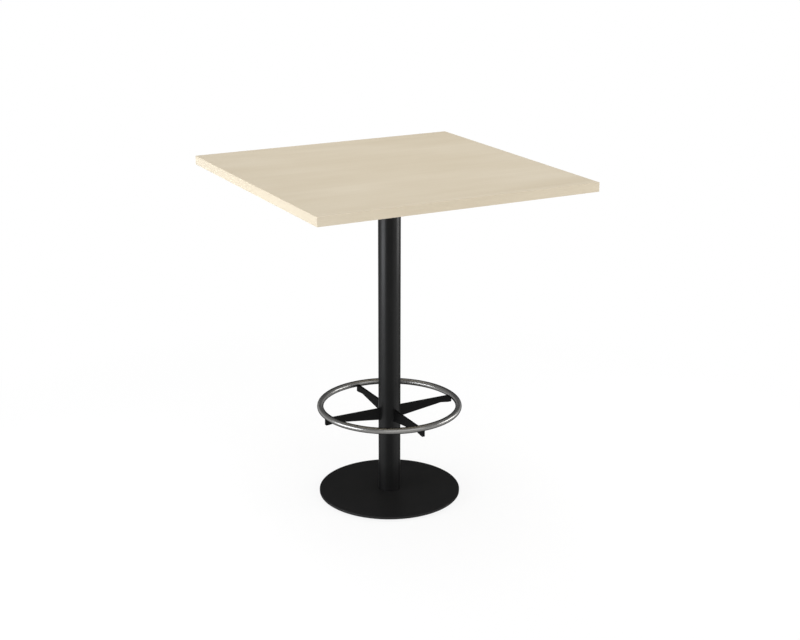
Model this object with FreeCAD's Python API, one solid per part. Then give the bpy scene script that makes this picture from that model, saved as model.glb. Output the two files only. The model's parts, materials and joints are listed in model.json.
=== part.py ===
import FreeCAD, Part
import math
import os

# A pub table: a square laminated top on a round steel column, with a foot ring on four welded arms and a flat
# round base disc that stands on four levelling glides. Millimetres. The floor is z = 0, the column's axis is Z
# and the table's front faces -Y.

Vector = FreeCAD.Vector
up = Vector(0, 0, 1)

# Top
table_height = 1060.0  # floor to the upper face of the top
top_side = 900.0  # over the edge bands
core_thickness = 26.0
laminate_thickness = 1.0  # the upper sheet
backing_thickness = 1.0  # the sheet under the core
band_thickness = 2.0
band_rounding = 1.0

# Mounting plate under the top
plate_side = 320.0
plate_thickness = 6.0
plate_corner_radius = 24.0
plate_hole_inset = 22.0  # from the plate's sides to the outer rows of holes

# Column
column_diameter = 70.0
column_wall = 2.0
plug_thickness = 15.0
plug_screw_inset = 11.0  # from the tube's bore to the middle of each screw
plug_screw_count = 4
plug_screw_start = 45.0  # degrees round from +X to the first screw

# Foot ring
ring_height = 298.0  # floor to the middle of the tube
ring_diameter = 438.0  # through the middle of the tube
ring_tube = 20.0
ring_wall = 1.5
ring_collar_diameter = 7.0  # drawn inwards from the wall where a screw goes in
ring_collar_depth = 4.5  # from the tube's underside

# Arms of the foot ring
arm_names = ("right", "back", "left", "front")  # a quarter turn apart, from +X on
arm_thickness = 8.0
arm_top_drop = 5.2  # the upper edge lies this far below the middle of the ring's tube
arm_overhang = 5.5  # the tip reaches this far past the middle of the ring's tube
arm_seat_depth = 17.5  # from the ring's underside to the arm's lower edge at the tip
arm_seat_length = 10.5  # level part of the lower edge, under the ring
arm_waist_inset = 39.5  # from the tip to the shallowest place
arm_waist_depth = 18.5
arm_root_depth = 38.0
arm_tip_rounding = 1.5  # small enough to leave flat edge round the screw's head

# Base disc
base_diameter = 450.0
base_thickness = 8.0
base_rounding = 1.2

# Levelling glides
glide_corners = {"front_right": -45, "back_right": 45, "back_left": 135, "front_left": 225}  # degrees from +X
glide_inset = 35.0  # from the disc's rim to the middle of each glide
pad_diameter = 30.0
pad_skin = 1.2  # under the stud's head
pad_lip = 1.0  # over the stud's head
pad_chamfer = 0.6
stud_diameter = 8.0
stud_head_diameter = 11.0
stud_head_thickness = 1.1
stud_head_play = 0.2  # between the head and the pad's lip
stud_neck_diameter = 7.0
stud_end_gap = 0.3  # between the stud's end and the bottom of its hole
blind_skin = 1.5  # disc left above each stud's hole
collar_flats = 13.0  # the hexagon that a spanner turns
collar_thickness = 2.4
collar_gap = 0.1  # between the pad and the hexagon

# Screws through the disc and the mounting plate into the column's plugs
plug_screw = 8.0
plug_screw_head = 15.8
plug_screw_key = 5.0
plug_screw_grip = 12.0  # thread in the plug

# Screws through the mounting plate into the top's inserts
top_screw = 6.0
top_screw_head = 10.5
top_screw_head_height = 3.3
top_screw_head_rounding = 2.0
top_screw_key = 4.0
top_screw_grip = 10.0  # thread in the insert
insert_diameter = 9.0
insert_length = 13.0
insert_end_gap = 1.5  # core left open over each insert

# Screws through the arms' tips into the ring
ring_screw = 4.0
ring_screw_head = 7.0
ring_screw_key = 2.5
ring_screw_grip = 4.0  # reach past the tube's underside

# Fits, as gaps on the radius or between faces
thread_fit = 0.05  # screw or stud in its tapped hole
through_fit = 0.4  # screw in a plain hole
sink_fit = 0.1  # round a countersunk head
head_recess = 0.1  # of a countersunk head below the face around it
insert_fit = 0.05  # insert in its pocket
pad_fit = 0.1  # pad round the stud's neck and head
weld_gap = 0.05  # filled by the weld
seat_gap = 0.05  # between the ring and the arms' tips
socket_share = 0.6  # depth of a hexagon socket as a share of its width across flats

# Levels, from the floor up
stud_head_top = pad_skin + stud_head_thickness
pad_height = stud_head_top + stud_head_play + pad_lip
collar_bottom = pad_height + collar_gap
base_bottom = collar_bottom + collar_thickness
base_top = base_bottom + base_thickness
ring_bottom = ring_height - ring_tube / 2
arm_top = ring_height - arm_top_drop
arm_tip_bottom = ring_bottom - arm_seat_depth
core_top = table_height - laminate_thickness
core_bottom = core_top - core_thickness
top_bottom = core_bottom - backing_thickness
plate_bottom = top_bottom - plate_thickness

# Radii and spans
column_radius = column_diameter / 2
bore_radius = column_radius - column_wall
ring_radius = ring_diameter / 2
arm_reach = ring_radius + arm_overhang
glide_radius = base_diameter / 2 - glide_inset
panel_side = top_side - 2 * band_thickness  # core and laminate sheets


def same(a, b):
    return abs(a - b) < 1e-6


def polar(radius, degrees):
    return radius * math.cos(math.radians(degrees)), radius * math.sin(math.radians(degrees))


def around(radius, count, start=0.0):
    """Centres evenly spaced on a circle, as (x, y)."""
    return [polar(radius, start + 360 * i / count) for i in range(count)]


def cylinder(radius, bottom, top, x=0.0, y=0.0):
    return Part.makeCylinder(radius, top - bottom, Vector(x, y, bottom), up)


def panel(side, bottom, top):
    return Part.makeBox(side, side, top - bottom, Vector(-side / 2, -side / 2, bottom))


def turned(points, x=0.0, y=0.0):
    """A solid of revolution from (radius, height) points, about an upright axis at (x, y)."""
    outline = Part.makePolygon([Vector(r, 0, z) for r, z in points + points[:1]])
    solid = Part.Face(outline).revolve(Vector(), up, 360)
    solid.translate(Vector(x, y, 0))
    return solid


def hexagon(across_flats, bottom, top, x=0.0, y=0.0):
    corners = [Vector(x + cx, y + cy, bottom) for cx, cy in around(across_flats / math.sqrt(3), 6)]
    return Part.Face(Part.makePolygon(corners + corners[:1])).extrude(up * (top - bottom))


def flipped(shape, height):
    """The shape turned upside down about the X axis at this height."""
    turned_over = shape.copy()
    turned_over.rotate(Vector(0, 0, height), Vector(1, 0, 0), 180)
    return turned_over


def cut_all(shape, tools):
    return shape.cut(Part.makeCompound(tools))


def countersunk_screw(thread, head, key, face, end, x, y):
    """A flat-headed socket screw that goes up from just inside the face to its end."""
    bottom = face + head_recess
    cone_top = bottom + (head - thread) / 2
    body = turned([(0, bottom), (head / 2, bottom), (thread / 2, cone_top), (thread / 2, end), (0, end)], x, y)
    return body.cut(hexagon(key, bottom, bottom + key * socket_share, x, y))


def countersink(thread, head, face, end, x, y):
    """The plain hole and cone that such a screw needs, from the face up to the end."""
    mouth = head / 2 + sink_fit + head_recess
    hole = thread / 2 + through_fit
    return turned([(0, face), (mouth, face), (hole, face + mouth - hole), (hole, end), (0, end)], x, y)


# Top

def plate_hole_centres():
    """Three rows of three over the plate, without the middle one."""
    reach = plate_side / 2 - plate_hole_inset
    rows = (-reach, 0.0, reach)
    return [(x, y) for x in rows for y in rows if x or y]


def insert_pockets():
    pocket_top = top_bottom + insert_length + insert_end_gap
    return [cylinder(insert_diameter / 2 + insert_fit, top_bottom, pocket_top, x, y)
            for x, y in plate_hole_centres()]


def top_core():
    return cut_all(panel(panel_side, core_bottom, core_top), insert_pockets())


def backing_laminate():
    return cut_all(panel(panel_side, top_bottom, core_bottom), insert_pockets())


def edge_band(length, side_angle):
    """A band along the front edge, rounded where two outer faces of the top meet, turned to its side.

    The front and back bands run the whole side and show their ends, the others fit between them.
    """
    band = Part.makeBox(length, band_thickness, table_height - top_bottom,
                        Vector(-length / 2, -top_side / 2, top_bottom))

    def outer_faces(edge):
        middle = edge.CenterOfMass
        level = same(middle.z, top_bottom) or same(middle.z, table_height)
        return [level, same(middle.y, -top_side / 2), same(abs(middle.x), top_side / 2)].count(True)

    band = band.makeFillet(band_rounding, [e for e in band.Edges if outer_faces(e) == 2])
    band.rotate(Vector(), up, side_angle)
    return band


def threaded_inserts():
    """Tubes screwed into the core, flush with the backing sheet."""
    inserts = []
    for x, y in plate_hole_centres():
        body = cylinder(insert_diameter / 2, top_bottom, top_bottom + insert_length, x, y)
        inserts.append(body.cut(cylinder(top_screw / 2 + thread_fit, top_bottom, core_top, x, y)))
    return Part.makeCompound(inserts)


def top_screws():
    """Button-head socket screws, up through the plate into the inserts."""
    head_bottom = plate_bottom - top_screw_head_height
    screws = []
    for x, y in plate_hole_centres():
        head = cylinder(top_screw_head / 2, head_bottom, plate_bottom, x, y)
        rim = [e for e in head.Edges if same(e.CenterOfMass.z, head_bottom)]
        head = head.makeFillet(top_screw_head_rounding, rim)
        shank = cylinder(top_screw / 2, plate_bottom, top_bottom + top_screw_grip, x, y)
        socket = hexagon(top_screw_key, head_bottom, head_bottom + top_screw_key * socket_share, x, y)
        screws.append(head.fuse(shank).cut(socket))
    return Part.makeCompound(screws)


# Column and its ends

def plug_screw_centres():
    return around(bore_radius - plug_screw_inset, plug_screw_count, plug_screw_start)


def plug_screws(face, thickness):
    """Screws that go up from a face, through this much steel, into a plug."""
    end = face + thickness + plug_screw_grip
    return Part.makeCompound([countersunk_screw(plug_screw, plug_screw_head, plug_screw_key, face, end, x, y)
                              for x, y in plug_screw_centres()])


def plug_screw_sinks(face, thickness):
    return [countersink(plug_screw, plug_screw_head, face, face + thickness, x, y) for x, y in plug_screw_centres()]


def mounting_plate():
    """Its screws into the column go down from the upper face, under the top."""
    plate = panel(plate_side, plate_bottom, top_bottom)
    upright = [e for e in plate.Edges if same(e.CenterOfMass.z, (plate_bottom + top_bottom) / 2)]
    plate = plate.makeFillet(plate_corner_radius, upright)
    sinks = [flipped(s, top_bottom) for s in plug_screw_sinks(top_bottom, plate_thickness)]
    holes = [cylinder(top_screw / 2 + through_fit, plate_bottom, top_bottom, x, y)
             for x, y in plate_hole_centres()]
    return cut_all(plate, sinks + holes)


def column_tube():
    return cylinder(column_radius, base_top, plate_bottom).cut(cylinder(bore_radius, base_top, plate_bottom))


def column_plug(bottom):
    """A thick round plate welded flush into one end of the tube and tapped for the screws."""
    top = bottom + plug_thickness
    taps = [cylinder(plug_screw / 2 + thread_fit, bottom, top, x, y) for x, y in plug_screw_centres()]
    return cut_all(cylinder(bore_radius - weld_gap, bottom, top), taps)


# Foot ring and its arms

def ring_torus(tube_radius):
    return Part.makeTorus(ring_radius, tube_radius, Vector(0, 0, ring_height), up)


def foot_ring():
    """A bent tube, with a thread in a drawn collar over each arm."""
    below = ring_bottom - ring_wall
    centres = around(ring_radius, len(arm_names))
    collars = [cylinder(ring_collar_diameter / 2, below, ring_bottom + ring_collar_depth, x, y) for x, y in centres]
    taps = [cylinder(ring_screw / 2 + thread_fit, below, ring_height, x, y) for x, y in centres]
    hollow = cut_all(ring_torus(ring_tube / 2 - ring_wall), collars)
    return cut_all(ring_torus(ring_tube / 2), [hollow]).cut(Part.makeCompound(taps))


def ring_arm(angle):
    """A plate on edge, made along +X and turned to its side: coped to the column, cut out under the ring."""
    root_bottom = arm_top - arm_root_depth
    outline = [(0, arm_top), (arm_reach, arm_top), (arm_reach, arm_tip_bottom),
               (arm_reach - arm_seat_length, arm_tip_bottom),
               (arm_reach - arm_waist_inset, arm_top - arm_waist_depth),
               (column_radius, root_bottom), (0, root_bottom)]
    wire = Part.makePolygon([Vector(x, -arm_thickness / 2, z) for x, z in outline + outline[:1]])
    arm = Part.Face(wire).extrude(Vector(0, arm_thickness, 0))
    tip = [e for e in arm.Edges if same(e.CenterOfMass.x, arm_reach) and same(e.CenterOfMass.z, arm_tip_bottom)]
    arm = arm.makeFillet(arm_tip_rounding, tip)
    column = cylinder(column_radius + weld_gap, root_bottom, arm_top)
    sink = countersink(ring_screw, ring_screw_head, arm_tip_bottom, ring_height, ring_radius, 0)
    arm = cut_all(arm, [column, ring_torus(ring_tube / 2 + seat_gap), sink])
    arm.rotate(Vector(), up, angle)
    return arm


def ring_screws():
    end = ring_bottom + ring_screw_grip
    return Part.makeCompound([
        countersunk_screw(ring_screw, ring_screw_head, ring_screw_key, arm_tip_bottom, end, x, y)
        for x, y in around(ring_radius, len(arm_names))])


# Base disc and glides

def base_disc():
    disc = cylinder(base_diameter / 2, base_bottom, base_top)
    disc = disc.makeFillet(base_rounding, [e for e in disc.Edges if isinstance(e.Curve, Part.Circle)])
    stud_holes = [cylinder(stud_diameter / 2 + thread_fit, base_bottom, base_top - blind_skin,
                           *polar(glide_radius, angle)) for angle in glide_corners.values()]
    return cut_all(disc, plug_screw_sinks(base_bottom, base_thickness) + stud_holes)


def glide_pad(angle):
    """A low cup that stands on the floor and holds the stud's head under its lip."""
    outer = pad_diameter / 2
    room = stud_head_diameter / 2 + pad_fit
    mouth = stud_neck_diameter / 2 + pad_fit
    lip = pad_height - pad_lip
    return turned([(0, 0), (outer - pad_chamfer, 0), (outer, pad_chamfer), (outer, pad_height - pad_chamfer),
                   (outer - pad_chamfer, pad_height), (mouth, pad_height), (mouth, lip), (room, lip),
                   (room, pad_skin), (0, pad_skin)], *polar(glide_radius, angle))


def glide_stud(angle):
    """A threaded stud with a hexagon under the disc and a flat head in the pad, screwed fully in."""
    x, y = polar(glide_radius, angle)
    head = cylinder(stud_head_diameter / 2, pad_skin, stud_head_top, x, y)
    neck = cylinder(stud_neck_diameter / 2, stud_head_top, collar_bottom, x, y)
    collar = hexagon(collar_flats, collar_bottom, base_bottom, x, y)
    thread = cylinder(stud_diameter / 2, base_bottom, base_top - blind_skin - stud_end_gap, x, y)
    return head.multiFuse([neck, collar, thread])


pieces = {
    "top_laminate": panel(panel_side, core_top, table_height),
    "top_core": top_core(),
    "backing_laminate": backing_laminate(),
    "edge_band_front": edge_band(top_side, 0),
    "edge_band_back": edge_band(top_side, 180),
    "edge_band_right": edge_band(panel_side, 90),
    "edge_band_left": edge_band(panel_side, 270),
    "threaded_inserts": threaded_inserts(),
    "top_screws": top_screws(),
    "mounting_plate": mounting_plate(),
    "plate_screws": flipped(plug_screws(top_bottom, plate_thickness), top_bottom),
    "column_tube": column_tube(),
    "column_top_plug": column_plug(plate_bottom - plug_thickness),
    "column_bottom_plug": column_plug(base_top),
    "foot_ring": foot_ring(),
    "ring_screws": ring_screws(),
    "base_disc": base_disc(),
    "base_screws": plug_screws(base_bottom, base_thickness),
}
for i, name in enumerate(arm_names):
    pieces["ring_arm_" + name] = ring_arm(360 * i / len(arm_names))
for name, angle in glide_corners.items():
    pieces["glide_pad_" + name] = glide_pad(angle)
    pieces["glide_stud_" + name] = glide_stud(angle)

os.makedirs("parts", exist_ok=True)
for name, shape in pieces.items():
    shape.exportStep(f"parts/{name}.step")
    print(f"{name}: {len(shape.Solids)} solid(s), {shape.Volume / 1000:.2f} cm3, valid {shape.isValid()}")
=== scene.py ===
import json
import math

import bmesh
import bpy
from mathutils import Matrix, Vector


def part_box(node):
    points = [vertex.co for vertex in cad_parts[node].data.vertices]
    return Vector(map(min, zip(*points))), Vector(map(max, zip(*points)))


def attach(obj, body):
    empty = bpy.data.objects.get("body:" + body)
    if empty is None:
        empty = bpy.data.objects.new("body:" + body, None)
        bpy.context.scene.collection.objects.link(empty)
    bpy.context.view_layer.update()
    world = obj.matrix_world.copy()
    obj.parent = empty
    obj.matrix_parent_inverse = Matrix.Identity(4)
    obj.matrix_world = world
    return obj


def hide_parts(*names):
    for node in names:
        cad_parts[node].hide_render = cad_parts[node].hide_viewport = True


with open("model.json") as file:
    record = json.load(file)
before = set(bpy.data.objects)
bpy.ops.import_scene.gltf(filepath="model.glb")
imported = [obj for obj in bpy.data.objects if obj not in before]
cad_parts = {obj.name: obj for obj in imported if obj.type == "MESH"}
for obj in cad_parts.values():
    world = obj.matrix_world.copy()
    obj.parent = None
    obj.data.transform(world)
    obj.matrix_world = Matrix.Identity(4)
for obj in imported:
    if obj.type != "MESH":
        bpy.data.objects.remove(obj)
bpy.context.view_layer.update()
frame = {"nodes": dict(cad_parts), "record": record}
cadNodes = frame["nodes"]
mm = 0.001
quarterTurn = math.pi / 2
print("frame loaded:", len(cadNodes), "nodes")


# helpers for finishes; every finish is a node tree around one shader

def tone(red, green, blue):
    # a screen colour, 0 to 255, as the linear colour that the shader wants
    def linear(c):
        c = c / 255
        return c / 12.92 if c <= 0.04045 else ((c + 0.055) / 1.055) ** 2.4
    return (linear(red), linear(green), linear(blue), 1.0)


def newFinish(name, roughness, metallic=0.0, specular=0.5):
    finish = bpy.data.materials.new(name)
    finish.use_nodes = True
    shader = finish.node_tree.nodes["Principled BSDF"]
    shader.inputs["Roughness"].default_value = roughness
    shader.inputs["Metallic"].default_value = metallic
    shader.inputs["Specular IOR Level"].default_value = specular
    return finish, finish.node_tree, shader


def addNode(tree, kind, inputs=(), **settings):
    # an input that is another node's output becomes a link, any other a plain value
    node = tree.nodes.new(kind)
    for key, value in settings.items():
        setattr(node, key, value)
    for key, value in dict(inputs).items():
        if isinstance(value, bpy.types.NodeSocket):
            tree.links.new(value, node.inputs[key])
        else:
            node.inputs[key].default_value = value
    return node


def ownCoords(tree, turn=0.0):
    # the piece's own coordinates in metres, turned about Z
    where = addNode(tree, "ShaderNodeTexCoord").outputs["Object"]
    return addNode(tree, "ShaderNodeMapping", {"Vector": where, "Rotation": (0, 0, turn)}).outputs[0]


def stretch(tree, coords, scale):
    return addNode(tree, "ShaderNodeMapping", {"Vector": coords, "Scale": scale}).outputs[0]


def noise(tree, coords, scale=1.0, detail=2.0, roughness=0.5, distortion=0.0):
    return addNode(tree, "ShaderNodeTexNoise", {
        "Vector": coords, "Scale": scale, "Detail": detail, "Roughness": roughness,
        "Distortion": distortion}).outputs["Fac"]


def remap(tree, value, low, high, toLow=0.0, toHigh=1.0):
    ends = {"From Min": low, "From Max": high, "To Min": toLow, "To Max": toHigh}
    return addNode(tree, "ShaderNodeMapRange", {"Value": value, **ends}).outputs["Result"]


def remapNoise(tree, value, toLow=0.0, toHigh=1.0):
    # nearly all of a noise lies between 0.3 and 0.7
    return remap(tree, value, 0.3, 0.7, toLow, toHigh)


def mathNode(tree, operation, a, b=0.0):
    return addNode(tree, "ShaderNodeMath", {0: a, 1: b}, operation=operation).outputs[0]


def mixTones(tree, share, a, b):
    # 6, 7 and 2 are the mix node's colour sockets
    return addNode(tree, "ShaderNodeMix", {"Factor": share, 6: a, 7: b}, data_type="RGBA").outputs[2]


def addRelief(tree, shader, height, depth, strength=1.0):
    relief = addNode(tree, "ShaderNodeBump", {"Height": height, "Distance": depth, "Strength": strength})
    tree.links.new(relief.outputs["Normal"], shader.inputs["Normal"])


# maple laminate of the top and its edge bands
maple = {
    "pale": tone(222, 211, 190),
    "deep": tone(205, 191, 165),
    "fleck": tone(186, 169, 139),
    "roughness": 0.46,
    "roughSpread": 0.05,
    "specular": 0.25,
    "figureLines": 13.0,  # contour lines of the cathedral figure
    "shares": {"figure": 0.2, "drift": 0.6, "blotches": 0.7, "fibres": 0.9},
    "perMetre": {  # along the grain, then across it twice
        "swell": (0.7, 3.4, 3.4),
        "drift": (1.6, 22, 22),
        "blotches": (3.0, 5.0, 5.0),
        "fibres": (1 / 0.09, 1 / 0.0011, 1 / 0.0011),
        "flecks": (110, 900, 900),
    },
    "fleckFrom": 0.68,
    "fleckTo": 0.78,
    "fleckShare": 0.35,
    "reliefDepth": 0.02 * mm,
}


def mapleFinish(name, grainTurn):
    # printed maple decor under a satin overlay: soft cathedral figure, straight fibres, few flecks
    finish, tree, shader = newFinish(name, maple["roughness"], specular=maple["specular"])
    coords = ownCoords(tree, grainTurn)

    def pattern(part, detail, roughness=0.5, distortion=0.0):
        return noise(tree, stretch(tree, coords, maple["perMetre"][part]), 1.0, detail, roughness, distortion)

    swell = mathNode(tree, "MULTIPLY", pattern("swell", 2.0, 0.45), maple["figureLines"])
    fibres = pattern("fibres", 4.0, 0.6, 0.2)
    flecks = remap(tree, pattern("flecks", 1.0), maple["fleckFrom"], maple["fleckTo"])
    parts = {
        "figure": mathNode(tree, "PINGPONG", swell, 1.0),
        "drift": pattern("drift", 4.0, 0.6),
        "blotches": pattern("blotches", 2.0),
        "fibres": fibres,
    }
    share = 0.5 - 0.5 * sum(maple["shares"].values())
    for part, value in parts.items():
        share = mathNode(tree, "ADD", mathNode(tree, "MULTIPLY", value, maple["shares"][part]), share)
    colour = mixTones(tree, share, maple["deep"], maple["pale"])
    colour = mixTones(tree, mathNode(tree, "MULTIPLY", flecks, maple["fleckShare"]), colour, maple["fleck"])
    tree.links.new(colour, shader.inputs["Base Color"])
    middle, spread = maple["roughness"], maple["roughSpread"]
    tree.links.new(remapNoise(tree, fibres, middle - spread, middle + spread), shader.inputs["Roughness"])
    addRelief(tree, shader, mathNode(tree, "SUBTRACT", fibres, flecks), maple["reliefDepth"], 0.5)
    return finish


# powder coats: satin on the drawn tube, duller on the cut plates and on the base disc; painted shade darkens
# the plates' black and painted light lightens the disc's
columnCoat = {
    "name": "satinBlackPowderCoat",
    "black": tone(20, 20, 20),
    "grey": tone(25, 25, 25),
    "roughness": 0.34,
    "specular": 0.16,
    "frontSpecular": 0.06,  # the coat is dull where it is seen square on
    "rimTo": 0.56,
    "peelSize": 1.6 * mm,
    "peelDepth": 0.05 * mm,
}
plateCoat = {
    "name": "shadedBlackPowderCoat",
    # painted shade: a darker black than the column's
    "black": tone(14, 14, 14),
    "grey": tone(18, 18, 18),
    "roughness": 0.38,
    "specular": 0.06,
    "rimTo": 0.56,
    "peelSize": 1.6 * mm,
    "peelDepth": 0.05 * mm,
}
discCoat = {
    "name": "dullLitBlackPowderCoat",
    # painted light: a lighter black than the column's
    "black": tone(27, 27, 27),
    "grey": tone(32, 32, 32),
    "roughness": 0.5,
    "specular": 0.15,
    "rimTo": 0.6,
    "peelSize": 2.2 * mm,
    "peelDepth": 0.06 * mm,
}
coatGrain = {  # the same in all three
    "rimFrom": 0.33,
    "rimSpecular": 0.012,  # the texture shadows itself at a glancing angle, so the rim stays dark
    "frontFrom": 0.9,  # cosine of the angle round the column from its middle line, as seen
    "frontTo": 0.99,
    "patchesPerMetre": 9.0,
    "patchRange": (0.35, 0.65),  # of the noise, spread over these shares of the grey
    "patchShares": (0.2, 0.8),
    "gritPerMetre": 4200.0,
    "gritShare": 0.12,
    "roughSpread": 0.03,
}


def fromMiddleLine(tree, run):
    # cosine of the angle round a tube from its middle line, as seen; run is the tube's direction
    acrossFace = addNode(tree, "ShaderNodeLayerWeight", {"Blend": 0.5}).outputs["Facing"]
    alongRun = addNode(tree, "ShaderNodeLayerWeight", {"Blend": 0.5, "Normal": run}).outputs["Facing"]
    endOn = mathNode(tree, "SUBTRACT", 1.0, alongRun)
    sideOn = mathNode(tree, "SQRT", mathNode(tree, "SUBTRACT", 1.0, mathNode(tree, "MULTIPLY", endOn, endOn)))
    return mathNode(tree, "DIVIDE", mathNode(tree, "SUBTRACT", 1.0, acrossFace), sideOn)


def coatGloss(tree, look):
    # dull at the rim, and where the look says so also along the middle line
    facing = addNode(tree, "ShaderNodeLayerWeight", {"Blend": 0.5}).outputs["Facing"]
    gloss = remap(tree, facing, coatGrain["rimFrom"], look["rimTo"],
                  look["specular"], coatGrain["rimSpecular"])
    if "frontSpecular" in look:
        upright = addNode(tree, "ShaderNodeCombineXYZ", {"Z": 1.0}).outputs[0]
        dulled = remap(tree, fromMiddleLine(tree, upright), coatGrain["frontFrom"], coatGrain["frontTo"],
                       0.0, look["specular"] - look["frontSpecular"])
        gloss = mathNode(tree, "SUBTRACT", gloss, dulled)
    return gloss


def blackCoatFinish(look):
    # powder coat: slight orange peel and a very fine grit
    finish, tree, shader = newFinish(look["name"], look["roughness"], specular=look["specular"])
    coords = ownCoords(tree)
    peel = noise(tree, coords, 1 / look["peelSize"], 2.0, 0.45)
    grit = noise(tree, coords, coatGrain["gritPerMetre"], 1.0)
    patches = noise(tree, coords, coatGrain["patchesPerMetre"], 3.0)
    share = remap(tree, patches, *coatGrain["patchRange"], *coatGrain["patchShares"])
    tree.links.new(mixTones(tree, share, look["black"], look["grey"]), shader.inputs["Base Color"])
    middle, spread = look["roughness"], coatGrain["roughSpread"]
    rough = mathNode(tree, "ADD", remapNoise(tree, patches, -spread, spread),
                     remapNoise(tree, grit, middle - spread, middle + spread))
    tree.links.new(rough, shader.inputs["Roughness"])
    tree.links.new(coatGloss(tree, look), shader.inputs["Specular IOR Level"])
    height = mathNode(tree, "ADD", peel, mathNode(tree, "MULTIPLY", grit, coatGrain["gritShare"]))
    addRelief(tree, shader, height, look["peelDepth"])
    return finish


# the polished foot ring
stainless = {
    "bright": tone(137, 136, 134),
    "dull": tone(127, 126, 124),
    # outline and its tint are painted shade: a darker colour and shine painted along the tube's outline
    "outline": tone(84, 84, 84),
    "paintedRimShadeTint": tone(60, 60, 60),
    "rimShadeFrom": 0.88,  # cosine of the angle round the tube from its middle line, as seen
    "rimShadeTo": 0.42,
    "roughness": 0.27,
    "roughSpread": 0.02,
    "linesPerMetre": (8.0, 2600.0, 1.0),  # along the tube, then around it
    "hazePerMetre": (30.0, 90.0, 1.0),
    "lineDepth": 0.00015 * mm,
}


def stainlessTubeFinish():
    # polished along the tube: long fine lines that follow the bend, from the piece's own UV
    finish, tree, shader = newFinish("polishedStainlessTube", stainless["roughness"], metallic=1.0)
    around = addNode(tree, "ShaderNodeUVMap", uv_map="tube").outputs[0]
    lines = noise(tree, stretch(tree, around, stainless["linesPerMetre"]), 1.0, 3.0, 0.6)
    haze = noise(tree, stretch(tree, around, stainless["hazePerMetre"]), 1.0, 3.0)
    colour = mixTones(tree, remapNoise(tree, lines), stainless["dull"], stainless["bright"])
    # painted shade: the colour and the shine's tint are darkened towards the tube's outline, seen square to
    # its run
    run = addNode(tree, "ShaderNodeTangent", direction_type="UV_MAP", uv_map="tube").outputs[0]
    outline = remap(tree, fromMiddleLine(tree, run), stainless["rimShadeFrom"], stainless["rimShadeTo"])
    tree.links.new(mixTones(tree, outline, colour, stainless["outline"]), shader.inputs["Base Color"])
    tint = mixTones(tree, outline, (1, 1, 1, 1), stainless["paintedRimShadeTint"])
    tree.links.new(tint, shader.inputs["Specular Tint"])
    middle, spread = stainless["roughness"], stainless["roughSpread"]
    rough = mathNode(tree, "ADD", remapNoise(tree, haze, -spread, spread),
                     remapNoise(tree, lines, middle - spread, middle + spread))
    tree.links.new(rough, shader.inputs["Roughness"])
    addRelief(tree, shader, lines, stainless["lineDepth"], 0.6)
    return finish


# plated and machined metals of the fasteners: mottled colour, fine turning marks
fastenerMetals = {
    "stainless_screw": {"name": "stainlessScrew", "low": tone(150, 150, 148), "high": tone(176, 176, 174),
                        "roughness": 0.30, "marksPerMetre": 2400.0},
    "zinc_steel": {"name": "brightZinc", "low": tone(150, 153, 158), "high": tone(182, 184, 186),
                   "roughness": 0.34, "marksPerMetre": 1800.0},
    "bare_steel": {"name": "machinedSteel", "low": tone(104, 104, 106), "high": tone(138, 138, 140),
                   "roughness": 0.42, "marksPerMetre": 1500.0},
    "brass_insert": {"name": "turnedBrass", "low": tone(176, 142, 74), "high": tone(206, 172, 98),
                     "roughness": 0.30, "marksPerMetre": 2600.0},
}
fastenerGrain = {
    "mottlePerMetre": 260.0,
    "duller": 0.06,  # roughness added and taken off by the mottle
    "shinier": 0.04,
    "marksAcross": 40,
    "markDepth": 0.006 * mm,
}


def fastenerFinish(look):
    finish, tree, shader = newFinish(look["name"], look["roughness"], metallic=1.0)
    coords = ownCoords(tree)
    mottle = noise(tree, coords, fastenerGrain["mottlePerMetre"], 3.0, 0.6)
    across = fastenerGrain["marksAcross"]
    marks = noise(tree, stretch(tree, coords, (across, across, look["marksPerMetre"])), 1.0, 2.0)
    colour = mixTones(tree, remapNoise(tree, mottle), look["low"], look["high"])
    tree.links.new(colour, shader.inputs["Base Color"])
    rough = remapNoise(tree, mottle, look["roughness"] + fastenerGrain["duller"],
                       look["roughness"] - fastenerGrain["shinier"])
    tree.links.new(rough, shader.inputs["Roughness"])
    addRelief(tree, shader, marks, fastenerGrain["markDepth"], 0.6)
    return finish


chipboard = {
    "chip": tone(196, 165, 120),
    "darkChip": tone(150, 116, 76),
    "glue": tone(172, 138, 96),
    "roughness": 0.85,
    "specular": 0.2,
    "chipsPerMetre": 420.0,
    "chipShape": (1.0, 0.7, 2.2),
    "gapFrom": 0.35,
    "gapTo": 0.7,
    "reliefDepth": 0.15 * mm,
}


def chipboardFinish():
    # pressed chips of mixed shades with glue in the gaps
    finish, tree, shader = newFinish("rawChipboard", chipboard["roughness"], specular=chipboard["specular"])
    coords = stretch(tree, ownCoords(tree), chipboard["chipShape"])
    chips = addNode(tree, "ShaderNodeTexVoronoi", {
        "Vector": coords, "Scale": chipboard["chipsPerMetre"], "Randomness": 1.0})
    shade = addNode(tree, "ShaderNodeSeparateColor", {"Color": chips.outputs["Color"]}).outputs[0]
    colour = mixTones(tree, shade, chipboard["darkChip"], chipboard["chip"])
    gaps = remap(tree, chips.outputs["Distance"], chipboard["gapFrom"], chipboard["gapTo"])
    tree.links.new(mixTones(tree, gaps, colour, chipboard["glue"]), shader.inputs["Base Color"])
    addRelief(tree, shader, chips.outputs["Distance"], -chipboard["reliefDepth"], 0.7)
    return finish


backing = {
    "low": tone(196, 187, 166),
    "high": tone(208, 199, 178),
    "roughness": 0.55,
    "specular": 0.3,
    "specklePerMetre": 900.0,
    "cloudPerMetre": 6.0,
    "reliefDepth": 0.02 * mm,
}


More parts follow.
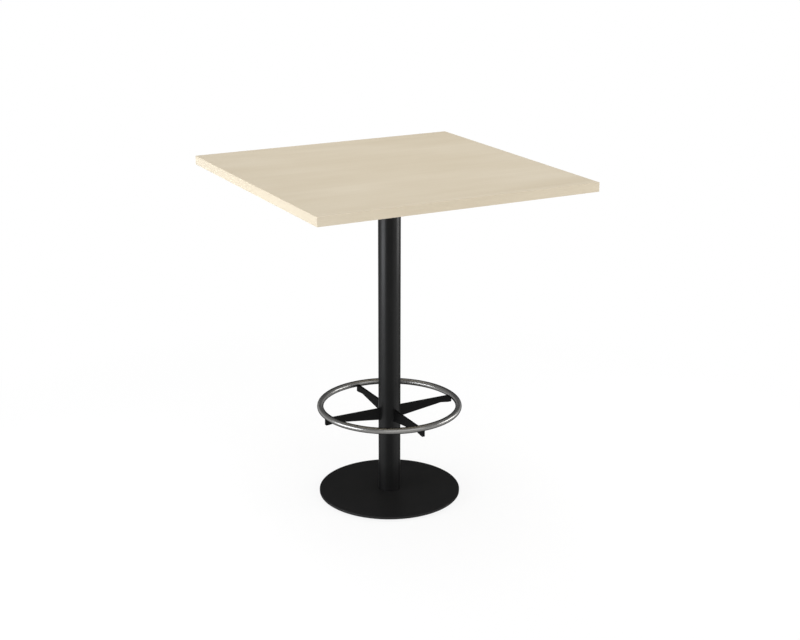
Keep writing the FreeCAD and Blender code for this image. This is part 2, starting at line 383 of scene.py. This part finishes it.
def backingFinish():
    # plain balancing sheet under the top: smooth, faintly speckled
    finish, tree, shader = newFinish("backingSheet", backing["roughness"], specular=backing["specular"])
    coords = ownCoords(tree)
    speckle = noise(tree, coords, backing["specklePerMetre"], 3.0, 0.65)
    cloud = noise(tree, coords, backing["cloudPerMetre"], 2.0)
    share = mathNode(tree, "MULTIPLY", mathNode(tree, "ADD", speckle, cloud), 0.5)
    colour = mixTones(tree, remapNoise(tree, share), backing["low"], backing["high"])
    tree.links.new(colour, shader.inputs["Base Color"])
    addRelief(tree, shader, speckle, backing["reliefDepth"], 0.5)
    return finish


nylon = {
    "low": tone(30, 30, 30),
    "high": tone(42, 42, 42),
    "roughness": 0.55,
    "roughSpread": 0.07,
    "specular": 0.35,
    "skinPerMetre": 1300.0,
    "reliefDepth": 0.03 * mm,
}


def nylonFinish():
    # moulded pads of the glides
    finish, tree, shader = newFinish("mouldedNylon", nylon["roughness"], specular=nylon["specular"])
    skin = noise(tree, ownCoords(tree), nylon["skinPerMetre"], 3.0, 0.6)
    colour = mixTones(tree, remapNoise(tree, skin), nylon["low"], nylon["high"])
    tree.links.new(colour, shader.inputs["Base Color"])
    middle, spread = nylon["roughness"], nylon["roughSpread"]
    tree.links.new(remapNoise(tree, skin, middle - spread, middle + spread), shader.inputs["Roughness"])
    addRelief(tree, shader, skin, nylon["reliefDepth"], 0.6)
    return finish


grainAlongX = mapleFinish("mapleLaminate", 0.0)
grainAlongY = mapleFinish("mapleEdgeAcross", quarterTurn)
satinBlack = blackCoatFinish(columnCoat)
shadedBlack = blackCoatFinish(plateCoat)
dullLitBlack = blackCoatFinish(discCoat)
polishedTube = stainlessTubeFinish()
metals = {slotName: fastenerFinish(look) for slotName, look in fastenerMetals.items()}
finishOfSlot = {
    "maple_laminate": grainAlongX,
    "maple_edge_band": grainAlongX,
    "chipboard": chipboardFinish(),
    "backing_sheet": backingFinish(),
    "black_powder_coat": shadedBlack,
    "stainless_steel": polishedTube,
    "black_nylon": nylonFinish(),
    **metals,
}
finishOfNode = {"edge_band_left": grainAlongY, "edge_band_right": grainAlongY, "base_disc": dullLitBlack}
print("finishes made:", len(bpy.data.materials))


# helpers for meshes
sharpCorner = math.radians(35)  # edges that turn by more than this are softened


def addPiece(name, mesh, finish, body="table", standsFor=(), sharpAngle=40, evenShading=True):
    # bmesh in, one finished object out, riding on its body
    # evenShading keeps broad faces flat beside their softened edges
    bmesh.ops.recalc_face_normals(mesh, faces=mesh.faces)
    data = bpy.data.meshes.new(name)
    mesh.to_mesh(data)
    mesh.free()
    data.materials.append(finish)
    data.shade_smooth()
    data.set_sharp_from_angle(angle=math.radians(sharpAngle))
    piece = bpy.data.objects.new(name, data)
    bpy.context.scene.collection.objects.link(piece)
    if evenShading:
        shading = piece.modifiers.new("evenShading", "WEIGHTED_NORMAL")
        shading.weight = 100
        shading.keep_sharp = True
    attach(piece, body)
    if standsFor:
        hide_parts(*standsFor)
    return piece


def turnsRound(count):
    return [2 * math.pi * i / count for i in range(count)]


def circlePoint(centre, radius, turn, height):
    return Vector((centre[0] + radius * math.cos(turn), centre[1] + radius * math.sin(turn), height))


def bridgeRings(mesh, rings, closed):
    # faces between rows of points that all have the same count; closed joins the last row to the first
    rows = [[mesh.verts.new(point) for point in ring] for ring in rings]
    pairs = list(zip(rows, rows[1:] + rows[:1])) if closed else list(zip(rows, rows[1:]))
    for a, b in pairs:
        for i in range(len(a)):
            j = (i + 1) % len(a)
            mesh.faces.new((a[i], a[j], b[j], b[i]))
    return rows


def capEnds(mesh, rows):
    mesh.faces.new(rows[0][::-1])
    mesh.faces.new(rows[-1])


def lathe(mesh, profile, count, centre=(0.0, 0.0), closed=True):
    # profile is (radius, height) pairs; closed makes a ring-like body with a bore
    rings = [[circlePoint(centre, radius, turn, height) for turn in turnsRound(count)]
             for radius, height in profile]
    return bridgeRings(mesh, rings, closed)


def extrudeOutline(mesh, outline, thickness, edge, steps=3):
    # outline in the local XY plane, thickness along Z about zero, all edges softened
    lower = [mesh.verts.new((x, y, -thickness / 2)) for x, y in outline]
    bottom = mesh.faces.new(lower)
    made = bmesh.ops.extrude_face_region(mesh, geom=[bottom])
    upper = [v for v in made["geom"] if isinstance(v, bmesh.types.BMVert)]
    bmesh.ops.translate(mesh, verts=upper, vec=(0, 0, thickness))
    mesh.normal_update()
    corners = [e for e in mesh.edges if len(e.link_faces) == 2 and e.calc_face_angle(0) > sharpCorner]
    bmesh.ops.bevel(mesh, geom=corners, offset=edge, offset_type="OFFSET", segments=steps, profile=0.5,
                    affect="EDGES", clamp_overlap=True, miter_outer="ARC")


# the top: a laminate sheet let in between the edge bands
topSheet = {"edge": 0.18 * mm}  # the sheet's own edge, which makes the fine line beside each band

sheetLow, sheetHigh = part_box("top_laminate")
sheetSize = sheetHigh - sheetLow
halfX, halfY = sheetSize.x / 2, sheetSize.y / 2
sheetOutline = [(-halfX, -halfY), (halfX, -halfY), (halfX, halfY), (-halfX, halfY)]
mesh = bmesh.new()
extrudeOutline(mesh, sheetOutline, sheetSize.z, topSheet["edge"])
bmesh.ops.translate(mesh, verts=mesh.verts, vec=(sheetLow + sheetHigh) / 2)
addPiece("top_sheet", mesh, grainAlongX, standsFor=["top_laminate"])


# the column
column = {"wall": 2 * mm, "endEdge": 0.4 * mm, "around": 144}

tubeLow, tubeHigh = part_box("column_tube")
columnRadius = tubeHigh.x
boreRadius = columnRadius - column["wall"]
endRadius = columnRadius - column["endEdge"]
mesh = bmesh.new()
lathe(mesh, [
    (boreRadius, tubeLow.z),
    (endRadius, tubeLow.z),
    (columnRadius, tubeLow.z + column["endEdge"]),
    (columnRadius, tubeHigh.z - column["endEdge"]),
    (endRadius, tubeHigh.z),
    (boreRadius, tubeHigh.z),
], column["around"])
addPiece("column_shell", mesh, satinBlack, standsFor=["column_tube"], sharpAngle=30)


# the foot ring, with a UV in metres along and around the tube
footRing = {"along": 288, "around": 40}

ringLow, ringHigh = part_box("foot_ring")
tubeRadius = (ringHigh.z - ringLow.z) / 2
ringRadius = ringHigh.x - tubeRadius
ringHeight = (ringHigh.z + ringLow.z) / 2
rings = []
for turn in turnsRound(footRing["along"]):
    rings.append([circlePoint((0, 0), ringRadius + tubeRadius * math.cos(a), turn,
                              ringHeight + tubeRadius * math.sin(a)) for a in turnsRound(footRing["around"])])
mesh = bmesh.new()
bridgeRings(mesh, rings, closed=True)
layer = mesh.loops.layers.uv.new("tube")
alongStep = 2 * math.pi * ringRadius / footRing["along"]
aroundStep = 2 * math.pi * tubeRadius / footRing["around"]
for index, face in enumerate(mesh.faces):
    i, k = divmod(index, footRing["around"])
    for loop, (nextI, nextK) in zip(face.loops, ((0, 0), (0, 1), (1, 1), (1, 0))):
        loop[layer].uv = ((i + nextI) * alongStep, (k + nextK) * aroundStep)
addPiece("foot_ring_tube", mesh, polishedTube, standsFor=["foot_ring"], sharpAngle=80,
         evenShading=False)


# the arms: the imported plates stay, with a bead of weld round each root
armSides = ("right", "back", "left", "front")
weldBead = {
    "radius": 2.1 * mm,
    "ripple": 0.13,  # share of the radius
    "rippleLength": 1.7 * mm,
    "wander": 0.05,  # slow change of the radius from ripple to ripple, as a share
    "wanderRate": 0.73,
    "step": 0.6 * mm,
    "around": 12,
    "cornerRadius": 1.2 * mm,
    "cornerSteps": 4,
}

armLow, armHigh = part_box("ring_arm_right")
armThickness = armHigh.y - armLow.y
armTop, rootBottom = armHigh.z, armLow.z


def beadPath():
    # a rounded rectangle round the arm's section, laid on the column's surface
    half = armThickness / 2
    middle = (armTop + rootBottom) / 2
    radius, steps = weldBead["cornerRadius"], weldBead["cornerSteps"]
    corners = ((half, armTop), (-half, armTop), (-half, rootBottom), (half, rootBottom))
    path = []
    for quarter, (y, z) in enumerate(corners):
        centreY, centreZ = y - math.copysign(radius, y), z - math.copysign(radius, z - middle)
        for step in range(steps + 1):
            turn = quarterTurn * (quarter + step / steps)
            path.append(Vector((0, centreY + radius * math.cos(turn), centreZ + radius * math.sin(turn))))
    even = []
    for a, b in zip(path, path[1:] + path[:1]):
        count = max(1, round((b - a).length / weldBead["step"]))
        even += [a.lerp(b, k / count) for k in range(count)]
    return [Vector((math.sqrt(columnRadius ** 2 - p.y ** 2), p.y, p.z)) for p in even]


def beadMesh(mesh, turnMatrix):
    path = beadPath()
    travelled = 0.0
    rings = []
    for i, point in enumerate(path):
        ahead, behind = path[(i + 1) % len(path)], path[i - 1]
        along = (ahead - behind).normalized()
        outward = Vector((point.x, point.y, 0)).normalized()
        side = along.cross(outward)
        phase = travelled / weldBead["rippleLength"]
        ripple = weldBead["ripple"] * (phase % 1.0 - 0.5)  # builds up slowly and drops off
        wander = weldBead["wander"] * math.sin(phase * weldBead["wanderRate"])
        radius = weldBead["radius"] * (1 + ripple + wander)
        rings.append([turnMatrix @ (point + (outward * math.cos(a) + side * math.sin(a)) * radius)
                      for a in turnsRound(weldBead["around"])])
        travelled += (ahead - point).length
    bridgeRings(mesh, rings, closed=True)


for i, side in enumerate(armSides):
    mesh = bmesh.new()
    beadMesh(mesh, Matrix.Rotation(i * quarterTurn, 4, "Z"))
    addPiece("arm_weld_" + side, mesh, shadedBlack, sharpAngle=70, evenShading=False)
print("top, column, ring and arms made")


# levelling glides: the studs get their thread and a chamfered hexagon
glide = {
    "flats": 13 * mm,
    "collar": 2.4 * mm,
    "chamferFrom": 12.2 * mm,  # across the chamfer's circle
    "chamferSlope": 0.577,  # 30 degrees
    "neckRadius": 3.5 * mm,
    "headRadius": 5.5 * mm,
    "headThickness": 1.1 * mm,
    "threadRadius": 4 * mm,
    "threadDepth": 0.55 * mm,
    "pitch": 1.25 * mm,
    "overlap": 0.2 * mm,  # neck and thread reach this far into the parts beside them
    "around": 72,
    "drumAround": 48,
    "rowsPerTurn": 8,
}


def hexRadius(turn):
    sixth = math.pi / 3
    return glide["flats"] / 2 / math.cos((turn % sixth) - sixth / 2)


def addHexagon(mesh, centre, bottom, top):
    rings = [[], [], [], []]
    for turn in turnsRound(glide["around"]):
        full = hexRadius(turn)
        inner = min(full, glide["chamferFrom"] / 2)
        drop = (full - inner) * glide["chamferSlope"]
        radii = (inner, full, full, inner)
        heights = (bottom, bottom + drop, top - drop, top)
        for ring, radius, height in zip(rings, radii, heights):
            ring.append(circlePoint(centre, radius, turn, height))
    capEnds(mesh, bridgeRings(mesh, rings, closed=False))


def addThread(mesh, centre, bottom, top):
    rows = round((top - bottom) / glide["pitch"] * glide["rowsPerTurn"])
    rings = []
    for row in range(rows + 1):
        height = bottom + (top - bottom) * row / rows
        ring = []
        for k, turn in enumerate(turnsRound(glide["around"])):
            phase = ((height - bottom) / glide["pitch"] - k / glide["around"]) % 1.0
            groove = 1 - abs(2 * phase - 1)
            radius = glide["threadRadius"] - glide["threadDepth"] * groove
            ring.append(circlePoint(centre, radius, turn, height))
        rings.append(ring)
    capEnds(mesh, bridgeRings(mesh, rings, closed=False))


def addDrum(mesh, centre, radius, bottom, top):
    capEnds(mesh, lathe(mesh, [(radius, bottom), (radius, top)], glide["drumAround"], centre, closed=False))


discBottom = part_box("base_disc")[0].z
for corner in ("front_right", "back_right", "back_left", "front_left"):
    studLow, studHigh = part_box("glide_stud_" + corner)
    centre = (studLow + studHigh) / 2
    collarBottom = discBottom - glide["collar"]
    headTop = studLow.z + glide["headThickness"]
    mesh = bmesh.new()
    addDrum(mesh, centre, glide["headRadius"], studLow.z, headTop)
    addDrum(mesh, centre, glide["neckRadius"], headTop - glide["overlap"], collarBottom + glide["overlap"])
    addHexagon(mesh, centre, collarBottom, discBottom)
    addThread(mesh, centre, discBottom - glide["overlap"], studHigh.z)
    addPiece("glide_screw_" + corner, mesh, metals["zinc_steel"], body="stud_" + corner,
             standsFor=["glide_stud_" + corner], sharpAngle=35)
print("glide studs made")


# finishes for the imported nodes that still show, by their slot in the record
slotOfNode = {part["node"]: part["material_slot"] for part in frame["record"]["subparts"]}
for name, node in cadNodes.items():
    node.data.materials.clear()
    node.data.materials.append(finishOfNode.get(name, finishOfSlot[slotOfNode[name]]))

armEdge = 0.5 * mm  # the coat rounds the cut edges a little
for side in armSides:
    node = cadNodes["ring_arm_" + side]
    node.modifiers.new("joined", "WELD").merge_threshold = 0.001 * mm
    softened = node.modifiers.new("softened", "BEVEL")
    softened.width = armEdge
    softened.segments = 3
    softened.limit_method = "ANGLE"
    softened.angle_limit = sharpCorner
    node.modifiers.new("evenShading", "WEIGHTED_NORMAL").weight = 100
print("packed nodes dressed")


# camera
shot = {
    "side": -27.6756,  # degrees round from the front, the way that the camera stands
    "away": 4.30127,
    "height": 1.97518,
    "aimSide": -28.1132,
    "aimDown": 17.9645,
    "roll": 0.1279,
    "lens": 65.3988,
}

shotSide = math.radians(shot["side"])
cameraData = bpy.data.cameras.new("studioCamera")
cameraData.lens = shot["lens"]
camera = bpy.data.objects.new("studioCamera", cameraData)
camera.location = (shot["away"] * math.sin(shotSide), -shot["away"] * math.cos(shotSide), shot["height"])
aimTurn = Matrix.Rotation(math.radians(shot["aimSide"]), 3, "Z")
aimTilt = Matrix.Rotation(quarterTurn - math.radians(shot["aimDown"]), 3, "X")
aimRoll = Matrix.Rotation(math.radians(shot["roll"]), 3, "Z")
camera.rotation_euler = (aimTurn @ aimTilt @ aimRoll).to_euler()
bpy.context.scene.collection.objects.link(camera)
bpy.context.scene.camera = camera


# lamps: two soft boxes low at the sides, a large one in front and one above
lamps = {
    "leftBox": {"side": -91, "away": 1.7, "bottom": 0.2, "top": 0.7, "wide": 1.3, "glow": 10.5,
                "tint": (0.93, 0.955, 1.0)},
    "rightBox": {"side": 70, "away": 1.7, "bottom": 0.38, "top": 0.72, "wide": 1.1, "glow": 8.8,
                 "tint": (1.0, 1.0, 1.0)},
    "front": {"side": -5, "away": 4.6, "height": 2.2, "wide": 6.0, "high": 3.4, "glow": 1.25, "aim": 0.9,
              "tint": (1.0, 1.0, 1.0)},
    "overhead": {"side": 152, "away": 0.35, "height": 3.6, "wide": 2.6, "high": 2.6, "glow": 2.26, "aim": 1.0,
                 "tint": (1.0, 1.0, 1.0)},
}


def areaLamp(name, look):
    # a side box faces level between its bottom and top, the others aim at the table's middle line
    data = bpy.data.lights.new(name, "AREA")
    data.shape = "RECTANGLE"
    turn = math.radians(look["side"])
    spot = Vector((math.sin(turn), -math.cos(turn), 0)) * look["away"]
    if "height" in look:
        spot.z = look["height"]
        data.size, data.size_y = look["wide"], look["high"]
        target = Vector((0, 0, look["aim"]))
    else:
        spot.z = (look["bottom"] + look["top"]) / 2
        data.size, data.size_y = look["wide"], look["top"] - look["bottom"]
        target = Vector((0, 0, spot.z))
    data.color = look["tint"]
    data.energy = look["glow"] * math.pi * data.size * data.size_y  # glow is the lamp face's own brightness
    lamp = bpy.data.objects.new(name, data)
    lamp.location = spot
    lamp.rotation_euler = (target - spot).to_track_quat("-Z", "Y").to_euler()
    lamp.visible_camera = False
    bpy.context.scene.collection.objects.link(lamp)


for name, look in lamps.items():
    areaLamp(name, look)


# a white floor and a pale surround
studio = {
    "floorRadius": 60.0,
    "floorPale": (0.8, 0.8, 0.8, 1),
    "floorSelfLight": 0.84,  # near the table; the rest is light from the lamps, which keeps the shadow
    "nearRadius": 0.7,
    "farRadius": 1.8,
    "horizon": 0.9,
    "sky": 0.5,
    "fadeFrom": 0.05,  # sine of the elevation where the surround starts to darken
    "fadeTo": 0.22,
    "darkSide": (0.43, 0.81, 0.40),  # a black flag behind the table keeps the base plate dark
    "darkLevel": 0.22,
    "darkFrom": 0.70,
    "darkTo": 0.90,
}


def seenDirectly(tree):
    # 1 where the ray is the camera's own, or one that metal or glass sends on
    path = addNode(tree, "ShaderNodeLightPath")
    seen = mathNode(tree, "MAXIMUM", path.outputs["Is Camera Ray"], path.outputs["Is Glossy Ray"])
    return mathNode(tree, "MAXIMUM", seen, path.outputs["Is Transmission Ray"])


def floorFinish():
    # white to the eye with the table's shadow kept, a plain pale floor to the light it bounces
    finish = bpy.data.materials.new("studioFloor")
    finish.use_nodes = True
    tree = finish.node_tree
    tree.nodes.clear()
    pale = addNode(tree, "ShaderNodeBsdfDiffuse", {"Color": studio["floorPale"]})
    place = addNode(tree, "ShaderNodeTexCoord").outputs["Object"]
    reach = addNode(tree, "ShaderNodeVectorMath", {0: place}, operation="LENGTH").outputs["Value"]
    ownShare = remap(tree, reach, studio["nearRadius"], studio["farRadius"], studio["floorSelfLight"], 1.0)
    thin = addNode(tree, "ShaderNodeBsdfDiffuse", {"Color": mathNode(tree, "SUBTRACT", 1.0, ownShare)})
    ownLight = addNode(tree, "ShaderNodeEmission", {"Color": (1, 1, 1, 1), "Strength": ownShare})
    white = addNode(tree, "ShaderNodeAddShader", {0: thin.outputs[0], 1: ownLight.outputs[0]})
    mixed = addNode(tree, "ShaderNodeMixShader", {
        0: seenDirectly(tree), 1: pale.outputs[0], 2: white.outputs[0]})
    output = addNode(tree, "ShaderNodeOutputMaterial")
    tree.links.new(mixed.outputs[0], output.inputs["Surface"])
    finish.cycles.emission_sampling = "NONE"  # it lights nothing, so no light rays are spent on it
    return finish


mesh = bmesh.new()
bmesh.ops.create_circle(mesh, cap_ends=True, segments=128, radius=studio["floorRadius"])
data = bpy.data.meshes.new("studioFloor")
mesh.to_mesh(data)
mesh.free()
data.materials.append(floorFinish())
floor = bpy.data.objects.new("studioFloor", data)
bpy.context.scene.collection.objects.link(floor)

world = bpy.data.worlds.new("studioSurround")
world.use_nodes = True
tree = world.node_tree
skyward = addNode(tree, "ShaderNodeTexCoord").outputs["Generated"]
height = addNode(tree, "ShaderNodeSeparateXYZ", {0: skyward}).outputs["Z"]
risen = remap(tree, height, studio["fadeFrom"], studio["fadeTo"])
flag = addNode(tree, "ShaderNodeVectorMath", {0: skyward, 1: studio["darkSide"]}, operation="DOT_PRODUCT")
flagged = remap(tree, flag.outputs["Value"], studio["darkFrom"], studio["darkTo"],
                studio["sky"], studio["darkLevel"])
climb = mathNode(tree, "SUBTRACT", flagged, studio["horizon"])
level = mathNode(tree, "ADD", mathNode(tree, "MULTIPLY", risen, climb), studio["horizon"])
tree.links.new(level, tree.nodes["Background"].inputs["Color"])
bpy.context.scene.world = world
bpy.context.scene.view_settings.view_transform = "Standard"
print("studio ready")
